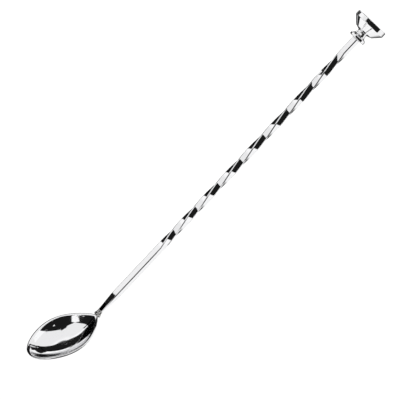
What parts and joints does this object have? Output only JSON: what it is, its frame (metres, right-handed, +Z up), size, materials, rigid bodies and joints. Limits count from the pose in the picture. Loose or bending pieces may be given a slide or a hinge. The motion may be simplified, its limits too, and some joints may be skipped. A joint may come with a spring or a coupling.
{
  "type": "bar spoon",
  "caption": "Long steel bar spoon: cranked almond bowl, twisted square bar, flanged collar and a conical flat-ended masher head on a screw thread.",
  "frame": {"origin": "middle of the footprint, on the surface that the spoon lies on with its bowl open upwards", "axes": "+X along the spoon from the bowl's tip to the masher's end, +Y across it, +Z up"},
  "size_m": [0.2814, 0.0296, 0.0234],
  "materials": {
    "bowl_steel": "mirror-polished stainless steel sheet",
    "weld_steel": "ground and polished weld",
    "bar_steel": "polished stainless steel bar",
    "turned_steel": "turned and polished stainless steel"
  },
  "bodies": {
    "spoon": {"bowl": "bowl_steel", "heel_weld": "weld_steel", "twisted_bar": "bar_steel"},
    "collar": {"collar": "turned_steel"},
    "masher": {"masher_head": "turned_steel"}
  },
  "joints": [
    {"name": "masher_turn", "type": "hinge", "parent": "spoon", "child": "collar", "pos_m": [0.12649, 0, 0.01003], "axis": [0.9993, 0, 0.0377], "range_deg": [0, 3240]},
    {"name": "masher_travel", "type": "slide", "parent": "collar", "child": "masher", "axis": [0.9993, 0, 0.0377], "range_m": [0, 0.0063]}
  ],
  "couplings": [
    {"joint": "masher_travel", "follows": "masher_turn", "m_per_rad": 0.00011141}
  ]
}
